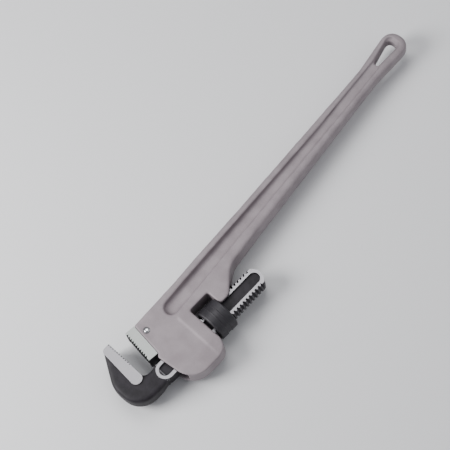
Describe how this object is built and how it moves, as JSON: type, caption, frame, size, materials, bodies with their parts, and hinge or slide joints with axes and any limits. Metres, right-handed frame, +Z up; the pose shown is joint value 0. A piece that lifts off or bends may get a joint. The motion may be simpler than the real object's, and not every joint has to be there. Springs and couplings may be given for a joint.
{
  "type": "pipe wrench",
  "caption": "Straight pipe wrench: I-beam handle with a hanging eye, sliding hook jaw on a threaded shank, pinned heel jaw and adjusting nut.",
  "frame": {"origin": "bottom centre of the bounding box with the wrench lying flat in its rest pose", "axes": "+X along the shank from the jaws to the handle's end, +Y towards the side where the jaws open, +Z up through the thickness"},
  "size_m": [0.5638, 0.1378, 0.042],
  "materials": {
    "cast_aluminium": "fine blasted casting with a matte grey coat",
    "forged_steel": "black oxide forging with ground cheeks and shank faces",
    "nut_steel": "black oxide, knurled grip bands",
    "jaw_steel": "bright ground alloy steel",
    "pin_steel": "polished domed head",
    "spring_steel": "blued spring steel"
  },
  "bodies": {
    "handle": {"handle": "cast_aluminium", "heel_jaw": "jaw_steel", "heel_jaw_pin": "pin_steel", "coil_spring": "spring_steel"},
    "leaf_spring": {"leaf_spring": "spring_steel"},
    "hook_jaw": {"hook_jaw": "forged_steel"},
    "adjusting_nut": {"adjusting_nut": "nut_steel"}
  },
  "joints": [
    {"name": "jaw_rock", "type": "hinge", "parent": "handle", "child": "leaf_spring", "pos_m": [-0.12515, -0.03244, 0.021], "axis": [0, 0, 1], "range_deg": [0, 2.5], "stiffness_Nm_per_rad": 20, "springref_deg": -2.86, "deforming": ["coil_spring"]},
    {"name": "jaw_slide", "type": "slide", "parent": "leaf_spring", "child": "hook_jaw", "axis": [-1, 0, 0], "range_m": [-0.0165, 0.055]},
    {"name": "nut_spin", "type": "hinge", "parent": "leaf_spring", "child": "adjusting_nut", "pos_m": [-0.13895, -0.03244, 0.021], "axis": [1, 0, 0], "range_deg": [-1170, 3898]}
  ],
  "couplings": [
    {"joint": "nut_spin", "follows": "jaw_slide", "rad_per_m": 1236.8}
  ]
}
